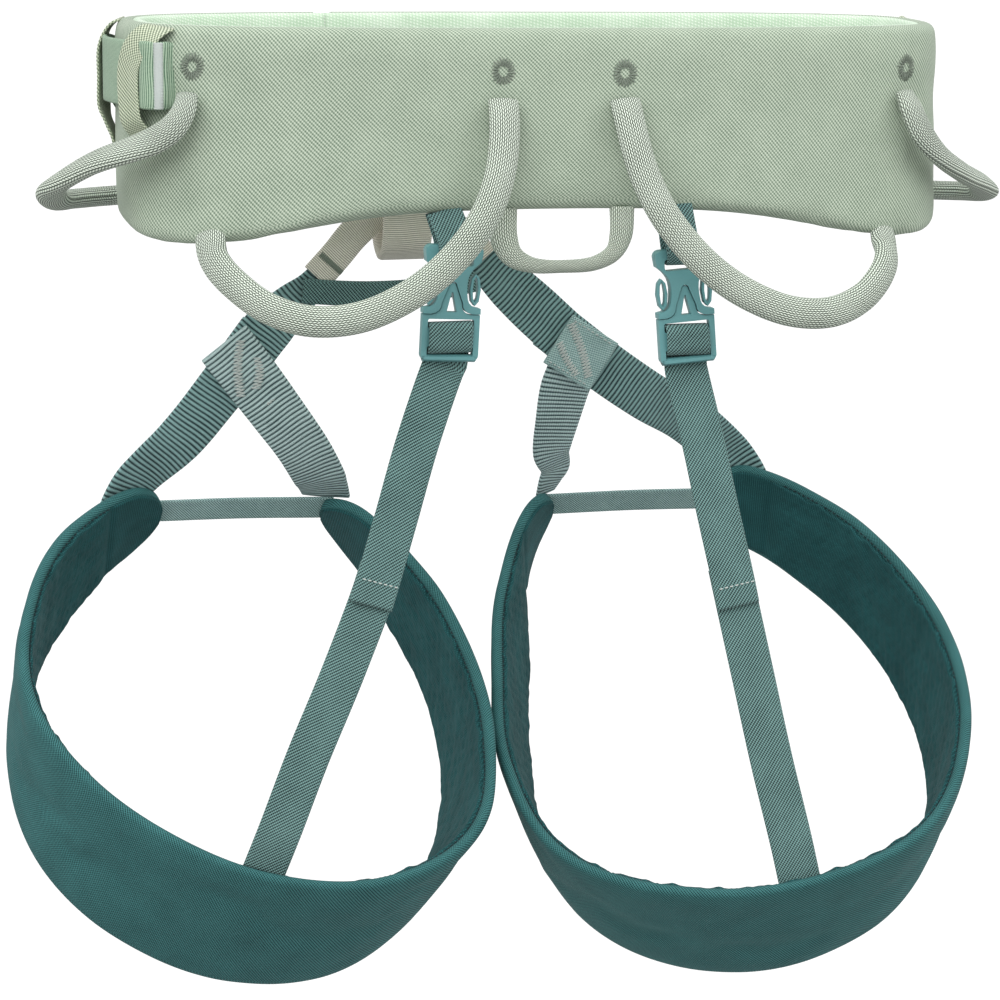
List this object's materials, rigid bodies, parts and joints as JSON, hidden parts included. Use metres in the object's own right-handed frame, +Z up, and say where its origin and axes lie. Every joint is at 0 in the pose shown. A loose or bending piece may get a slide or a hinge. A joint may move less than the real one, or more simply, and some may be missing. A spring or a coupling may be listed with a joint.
{
  "type": "climbing harness",
  "caption": "Sit harness with a padded waist belt, belay loop, gear loops, crossed leg risers, padded leg loops and buckled elastic rear straps.",
  "frame": {"origin": "middle of the waist opening at the belt's mid height", "axes": "+Z up towards the wearer's chest, -Y towards the wearer's back, +X towards the wearer's right"},
  "size_m": [0.4652, 0.2388, 0.4511],
  "materials": {
    "belt_fabric": "fine twill woven cover",
    "belt_lining": "brushed open-mesh lining",
    "loop_sheath": "braided sheath over a stiff core",
    "waist_webbing": "ribbed flat webbing",
    "elastic_band": "soft woven elastic",
    "beige_webbing": "tubular load webbing",
    "teal_elastic": "twill-woven elastic webbing",
    "riser_webbing": "ribbed webbing",
    "buckle_plastic": "satin moulded plastic",
    "leg_fabric": "fine twill woven cover",
    "leg_lining": "dimpled brushed lining",
    "buckle_metal": "tumbled"
  },
  "bodies": {
    "waist_belt": {"belt_shell": "belt_fabric", "belt_padding": "belt_lining", "waist_webbing_left": "waist_webbing", "waist_webbing_right": "waist_webbing", "hip_band_rear_left": "elastic_band", "hip_band_front_left": "elastic_band", "hip_band_rear_right": "elastic_band", "hip_band_front_right": "elastic_band", "waist_buckle_frame": "buckle_metal", "tail_keeper_inner": "elastic_band", "tail_keeper_outer": "elastic_band", "upper_tie_in": "beige_webbing", "lower_tie_in_sleeve": "beige_webbing", "bridge_strap": "teal_elastic", "rear_hook_left": "buckle_plastic", "rear_ladder_frame_left": "buckle_plastic", "rear_tab_left": "teal_elastic", "rear_elastic_upper_left": "teal_elastic", "rear_elastic_lower_left": "teal_elastic", "riser_upper_left": "riser_webbing", "rear_hook_right": "buckle_plastic", "rear_ladder_frame_right": "buckle_plastic", "rear_tab_right": "teal_elastic", "rear_elastic_upper_right": "teal_elastic", "rear_elastic_lower_right": "teal_elastic", "riser_upper_right": "riser_webbing"},
    "left_leg_loop": {"leg_padding_left": "leg_lining", "leg_shell_left": "leg_fabric", "riser_outer_left": "riser_webbing", "riser_inner_left": "riser_webbing", "leg_front_elastic_left": "teal_elastic"},
    "right_leg_loop": {"leg_padding_right": "leg_lining", "leg_shell_right": "leg_fabric", "riser_outer_right": "riser_webbing", "riser_inner_right": "riser_webbing", "leg_front_elastic_right": "teal_elastic"},
    "rear_left_gear_loop": {"gear_loop_rear_left": "loop_sheath"},
    "rear_right_gear_loop": {"gear_loop_rear_right": "loop_sheath"},
    "front_left_gear_loop": {"gear_loop_front_left": "loop_sheath"},
    "front_right_gear_loop": {"gear_loop_front_right": "loop_sheath"},
    "haul_loop_body": {"haul_loop": "loop_sheath"},
    "belay_loop_body": {"belay_loop": "beige_webbing"},
    "buckle_slider_body": {"waist_buckle_slider": "buckle_metal"},
    "left_outer_latch": {"rear_latch_outer_left": "buckle_plastic"},
    "left_inner_latch": {"rear_latch_inner_left": "buckle_plastic"},
    "right_outer_latch": {"rear_latch_outer_right": "buckle_plastic"},
    "right_inner_latch": {"rear_latch_inner_right": "buckle_plastic"}
  },
  "joints": [
    {"name": "left_leg_swing", "type": "hinge", "parent": "waist_belt", "child": "left_leg_loop", "pos_m": [-0.115, 0.0904, -0.117], "axis": [1, 0, 0], "range_deg": [-15, 15], "stiffness_Nm_per_rad": 1.2, "springref_deg": -3.19, "deforming": ["rear_elastic_upper_left", "rear_elastic_lower_left"]},
    {"name": "right_leg_swing", "type": "hinge", "parent": "waist_belt", "child": "right_leg_loop", "pos_m": [0.045, 0.0903, -0.1158], "axis": [1, 0, 0], "range_deg": [-15, 15], "stiffness_Nm_per_rad": 1.2, "springref_deg": -3.62, "deforming": ["rear_elastic_upper_right", "rear_elastic_lower_right"]},
    {"name": "rear_left_gear_loop_swing", "type": "hinge", "parent": "waist_belt", "child": "rear_left_gear_loop", "pos_m": [-0.09125, -0.06, -0.00957], "axis": [-0.8872, 0.0838, -0.4537], "range_deg": [0, 25], "stiffness_Nm_per_rad": 0.05},
    {"name": "front_left_gear_loop_swing", "type": "hinge", "parent": "waist_belt", "child": "front_left_gear_loop", "pos_m": [-0.16085, 0.00675, 0.0013], "axis": [0.0619, 0.8963, -0.4392], "range_deg": [0, 25], "stiffness_Nm_per_rad": 0.05},
    {"name": "rear_right_gear_loop_swing", "type": "hinge", "parent": "waist_belt", "child": "rear_right_gear_loop", "pos_m": [0.09125, -0.06, -0.01243], "axis": [-0.8758, -0.0827, 0.4754], "range_deg": [0, 25], "stiffness_Nm_per_rad": 0.05},
    {"name": "front_right_gear_loop_swing", "type": "hinge", "parent": "waist_belt", "child": "front_right_gear_loop", "pos_m": [0.16225, 0.00675, -0.00376], "axis": [0.0201, -0.8984, 0.4387], "range_deg": [0, 25], "stiffness_Nm_per_rad": 0.05},
    {"name": "haul_loop_swing", "type": "hinge", "parent": "waist_belt", "child": "haul_loop_body", "pos_m": [0.0015, -0.0583, -0.0344], "axis": [1, 0, 0], "range_deg": [-18, 18]},
    {"name": "belay_loop_slide", "type": "slide", "parent": "waist_belt", "child": "belay_loop_body", "axis": [0, 0, 1], "range_m": [0, 0.008]},
    {"name": "buckle_slider_tilt", "type": "hinge", "parent": "waist_belt", "child": "buckle_slider_body", "pos_m": [-0.106, 0.0771, 0.01138], "axis": [0, 0, 1], "range_deg": [0, 25]},
    {"name": "left_outer_latch_squeeze", "type": "hinge", "parent": "waist_belt", "child": "left_outer_latch", "pos_m": [-0.06038, -0.06, -0.07286], "axis": [0, 1, 0], "range_deg": [0, 4], "stiffness_Nm_per_rad": 0.02},
    {"name": "left_inner_latch_squeeze", "type": "hinge", "parent": "waist_belt", "child": "left_inner_latch", "pos_m": [-0.03961, -0.06, -0.07395], "axis": [0, -1, 0], "range_deg": [0, 4], "stiffness_Nm_per_rad": 0.02},
    {"name": "right_outer_latch_squeeze", "type": "hinge", "parent": "waist_belt", "child": "right_outer_latch", "pos_m": [0.0679, -0.06, -0.07728], "axis": [0, -1, 0], "range_deg": [0, 4], "stiffness_Nm_per_rad": 0.02},
    {"name": "right_inner_latch_squeeze", "type": "hinge", "parent": "waist_belt", "child": "right_inner_latch", "pos_m": [0.04715, -0.06, -0.07873], "axis": [0, 1, 0], "range_deg": [0, 4], "stiffness_Nm_per_rad": 0.02}
  ]
}
